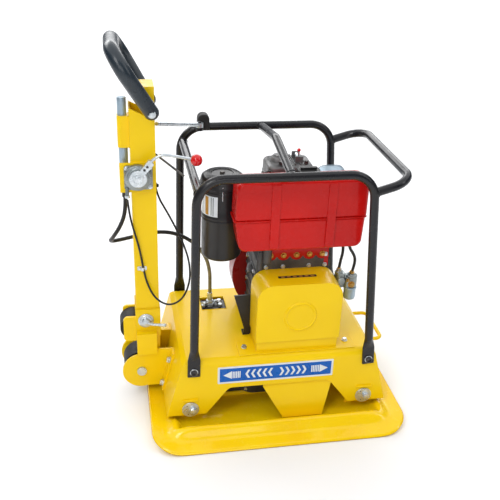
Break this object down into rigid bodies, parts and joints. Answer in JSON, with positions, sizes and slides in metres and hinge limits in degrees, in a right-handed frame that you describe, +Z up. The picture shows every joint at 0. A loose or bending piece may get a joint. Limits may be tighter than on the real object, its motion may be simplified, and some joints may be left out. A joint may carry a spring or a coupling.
{
  "type": "reversible plate compactor",
  "caption": "Reversible plate compactor: yellow curved base plate, arched console on rubber mounts, diesel engine in a black tube frame, and a folding tow bar.",
  "frame": {"origin": "middle of the flat sole of the base plate, on the ground", "axes": "+X is the forward travel direction, +Y the machine's left, +Z up; the tow bar is at the -X end"},
  "size_m": [0.8889, 0.694, 1.147],
  "materials": {
    "yellow": "gloss",
    "black_paint": "gloss",
    "red_paint": "gloss",
    "engine_black": "satin",
    "cast_grey": "as cast",
    "machined_steel": "machined",
    "zinc": "zinc plated",
    "alloy": "cast, satin",
    "black_rubber": "matt",
    "hose_rubber": "satin",
    "black_plastic": "textured",
    "red_plastic": "gloss",
    "blue_sign": "printed"
  },
  "bodies": {
    "machine": {"base_plate": "yellow", "exciter_housing": "cast_grey", "exciter_end_covers": "cast_grey", "exciter_bearings": "machined_steel", "exciter_bolts": "zinc", "rubber_mounts": "black_rubber", "console_frame": "yellow", "console_bolts": "zinc", "lower_belt_guard": "yellow", "tie_down_eye": "yellow", "direction_plate": "blue_sign", "belt_guard": "yellow", "v_belt": "black_rubber", "crankcase": "alloy", "fan_shroud": "red_paint", "recoil_starter": "engine_black", "cylinder_block": "cast_grey", "cylinder_head": "alloy", "rocker_cover": "alloy", "fuel_tank": "red_paint", "air_cleaner_body": "engine_black", "air_cleaner_lid": "engine_black", "muffler": "engine_black", "engine_brackets": "engine_black", "fuel_filter": "alloy", "near_hoop": "black_paint", "far_hoop": "black_paint", "cross_bars": "black_paint", "front_handle": "black_paint", "hinge_ears": "yellow", "pivot_pin": "zinc", "latch_block": "black_rubber", "hose_coupling": "zinc", "fuel_hose_tank": "hose_rubber", "fuel_hose_pump": "hose_rubber"},
    "crank": {"crankshaft": "machined_steel", "flywheel": "cast_grey", "clutch_hub": "machined_steel"},
    "clutch_drum": {"clutch_drum": "machined_steel"},
    "drive_shaft": {"drive_eccentric_shaft": "machined_steel", "drive_timing_gear": "machined_steel", "exciter_pulley": "cast_grey"},
    "driven_shaft": {"driven_eccentric_shaft": "machined_steel", "driven_timing_gear": "machined_steel"},
    "tow_bar": {"tow_bar": "yellow", "tow_bar_foot": "yellow", "rubber_bushes": "black_rubber", "pump_cylinder": "black_paint", "throttle_housing": "alloy", "tow_bar_fittings": "zinc", "throttle_cable": "hose_rubber", "hydraulic_hose": "hose_rubber"},
    "control_handle": {"control_handle": "black_rubber"},
    "throttle": {"throttle_lever": "zinc", "throttle_knob": "red_plastic"},
    "clamp": {"clamp_lever": "zinc"},
    "latch": {"latch_rod": "zinc"},
    "filler_cap": {"fuel_cap": "black_plastic"},
    "starter_grip": {"recoil_grip": "black_plastic"},
    "decompression": {"decompression_lever": "zinc"}
  },
  "joints": [
    {"name": "crank_spin", "type": "hinge", "parent": "machine", "child": "crank", "pos_m": [0.054, 0, 0.364], "axis": [0, 1, 0], "continuous": true},
    {"name": "drum_spin", "type": "hinge", "parent": "machine", "child": "clutch_drum", "pos_m": [0.054, 0, 0.364], "axis": [0, 1, 0], "continuous": true},
    {"name": "drive_shaft_spin", "type": "hinge", "parent": "machine", "child": "drive_shaft", "pos_m": [0.054, 0, 0.092], "axis": [0, 1, 0], "continuous": true},
    {"name": "driven_shaft_spin", "type": "hinge", "parent": "machine", "child": "driven_shaft", "pos_m": [-0.054, 0, 0.092], "axis": [0, 1, 0], "continuous": true},
    {"name": "tow_bar_fold", "type": "hinge", "parent": "machine", "child": "tow_bar", "pos_m": [-0.411, 0, 0.112], "axis": [0, -1, 0], "range_deg": [0, 65], "deforming": ["hydraulic_hose"]},
    {"name": "handle_swing", "type": "hinge", "parent": "tow_bar", "child": "control_handle", "pos_m": [-0.361, 0, 0.955], "axis": [0, 1, 0], "range_deg": [-30, 30]},
    {"name": "throttle_turn", "type": "hinge", "parent": "tow_bar", "child": "throttle", "pos_m": [-0.403, -0.075, 0.768], "axis": [0, 1, 0], "range_deg": [-35, 0]},
    {"name": "clamp_turn", "type": "hinge", "parent": "tow_bar", "child": "clamp", "pos_m": [-0.393, -0.05, 0.29], "axis": [0, 1, 0], "range_deg": [-150, 0]},
    {"name": "latch_swing", "type": "hinge", "parent": "machine", "child": "latch", "pos_m": [-0.2, 0.193, 0.836], "axis": [0, 0, 1], "range_deg": [0, 60]},
    {"name": "filler_cap_turn", "type": "hinge", "parent": "machine", "child": "filler_cap", "pos_m": [0.068, -0.132, 0.795], "axis": [0, 0, 1], "range_deg": [0, 90]},
    {"name": "starter_pull", "type": "slide", "parent": "machine", "child": "starter_grip", "axis": [0, 1, 0], "range_m": [0, 0.6], "stiffness_N_per_m": 30, "springref_m": -0.05},
    {"name": "decompression_turn", "type": "hinge", "parent": "machine", "child": "decompression", "pos_m": [0.07, 0.01, 0.7925], "axis": [0, 1, 0], "range_deg": [0, 90], "stiffness_Nm_per_rad": 0.05, "springref_deg": -17.19}
  ],
  "couplings": [
    {"joint": "drum_spin", "follows": "crank_spin", "ratio": 1},
    {"joint": "drive_shaft_spin", "follows": "crank_spin", "ratio": 1.233},
    {"joint": "driven_shaft_spin", "follows": "crank_spin", "ratio": -1.233}
  ]
}
